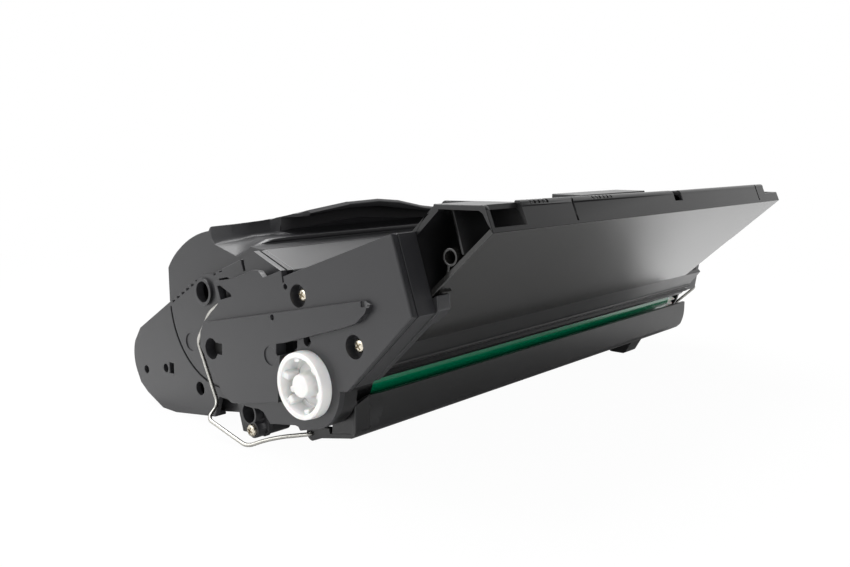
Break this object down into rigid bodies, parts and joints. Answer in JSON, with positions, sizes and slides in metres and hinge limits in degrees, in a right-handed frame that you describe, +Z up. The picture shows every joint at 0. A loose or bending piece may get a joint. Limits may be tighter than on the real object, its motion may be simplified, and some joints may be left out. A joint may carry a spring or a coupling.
{
  "type": "toner cartridge",
  "caption": "All-in-one toner cartridge with a shuttered green drum, drive coupling, sloping guide panel and a toner hopper with a carrying handle.",
  "frame": {"origin": "centre of the bounding box at its base", "axes": "+X along the drum from the drive coupling to the far end, +Y from the drum to the hopper, +Z up"},
  "size_m": [0.313, 0.2126, 0.1034],
  "materials": {
    "cap_plastic": "satin moulded charcoal grey",
    "hopper_plastic": "satin moulded charcoal grey",
    "dark_plastic": "satin moulded black",
    "guide_plastic": "polished dark grey",
    "drum_coat": "smooth green photoconductor coating on aluminium",
    "white_plastic": "white acetal",
    "gear_plastic": "natural acetal",
    "steel": "bright steel",
    "screw_steel": "nickel-plated steel",
    "blade_rubber": "polyurethane",
    "roller_rubber": "smooth conductive rubber",
    "sleeve_metal": "blasted dark aluminium",
    "film": "thin polyester film"
  },
  "bodies": {
    "cartridge": {"near_end_cap": "cap_plastic", "far_end_cap": "cap_plastic", "drum_frame": "dark_plastic", "waste_bin_cover": "dark_plastic", "front_panel": "guide_plastic", "hood_cover": "dark_plastic", "hopper_body": "hopper_plastic", "hopper_top": "hopper_plastic", "near_hopper_plate": "hopper_plastic", "far_hopper_plate": "hopper_plastic", "drum_pin": "steel", "charge_bearings": "gear_plastic", "charge_springs": "steel", "cleaning_blade": "blade_rubber", "cleaning_blade_bracket": "steel", "recovery_sheet": "film", "magnet_core": "dark_plastic", "developer_bearings": "gear_plastic", "doctor_blade": "blade_rubber", "doctor_blade_bracket": "steel", "shutter_spring": "steel", "near_cap_screws": "screw_steel", "far_cap_screws": "screw_steel", "boss_screw": "screw_steel", "fill_plug": "dark_plastic", "unit_pins": "steel", "ground_contact": "steel"},
    "drum": {"drum_tube": "drum_coat", "drum_coupling": "white_plastic", "drum_gear_flange": "gear_plastic"},
    "charge": {"charge_roller": "roller_rubber", "charge_roller_shaft": "steel"},
    "developer": {"developer_sleeve": "sleeve_metal", "developer_gear": "gear_plastic"},
    "idler": {"idler_gear": "gear_plastic"},
    "agitator": {"agitator_shaft": "gear_plastic", "agitator_film": "film", "agitator_gear": "gear_plastic"},
    "near_wire": {"near_shutter_wire": "steel"},
    "far_wire": {"far_shutter_wire": "steel"},
    "shutter": {"shutter": "dark_plastic"}
  },
  "joints": [
    {"name": "drum_spin", "type": "hinge", "parent": "cartridge", "child": "drum", "pos_m": [0, -0.03, 0.0335], "axis": [1, 0, 0], "continuous": true},
    {"name": "charge_spin", "type": "hinge", "parent": "cartridge", "child": "charge", "pos_m": [0, -0.02398, 0.05078], "axis": [1, 0, 0], "continuous": true},
    {"name": "developer_spin", "type": "hinge", "parent": "cartridge", "child": "developer", "pos_m": [0, -0.00946, 0.02913], "axis": [1, 0, 0], "continuous": true},
    {"name": "idler_spin", "type": "hinge", "parent": "cartridge", "child": "idler", "pos_m": [0, 0.0174, 0.03502], "axis": [1, 0, 0], "continuous": true},
    {"name": "agitator_spin", "type": "hinge", "parent": "cartridge", "child": "agitator", "pos_m": [0, 0.0569, 0.0356], "axis": [1, 0, 0], "continuous": true},
    {"name": "near_wire_swing", "type": "hinge", "parent": "cartridge", "child": "near_wire", "pos_m": [0, 0.0305, 0.056], "axis": [1, 0, 0], "range_deg": [0, 25], "stiffness_Nm_per_rad": 0.05, "springref_deg": -20.05},
    {"name": "far_wire_swing", "type": "hinge", "parent": "cartridge", "child": "far_wire", "pos_m": [0, 0.0305, 0.056], "axis": [1, 0, 0], "range_deg": [0, 25]},
    {"name": "shutter_tilt", "type": "hinge", "parent": "near_wire", "child": "shutter", "pos_m": [0, -0.02, 0.0096], "axis": [1, 0, 0], "range_deg": [0, 10]}
  ],
  "couplings": [
    {"joint": "charge_spin", "follows": "drum_spin", "ratio": -2},
    {"joint": "developer_spin", "follows": "drum_spin", "ratio": -1.1},
    {"joint": "idler_spin", "follows": "drum_spin", "ratio": 0.62857},
    {"joint": "agitator_spin", "follows": "drum_spin", "ratio": -0.5},
    {"joint": "far_wire_swing", "follows": "near_wire_swing", "ratio": 1},
    {"joint": "shutter_tilt", "follows": "near_wire_swing", "ratio": 0.4}
  ]
}
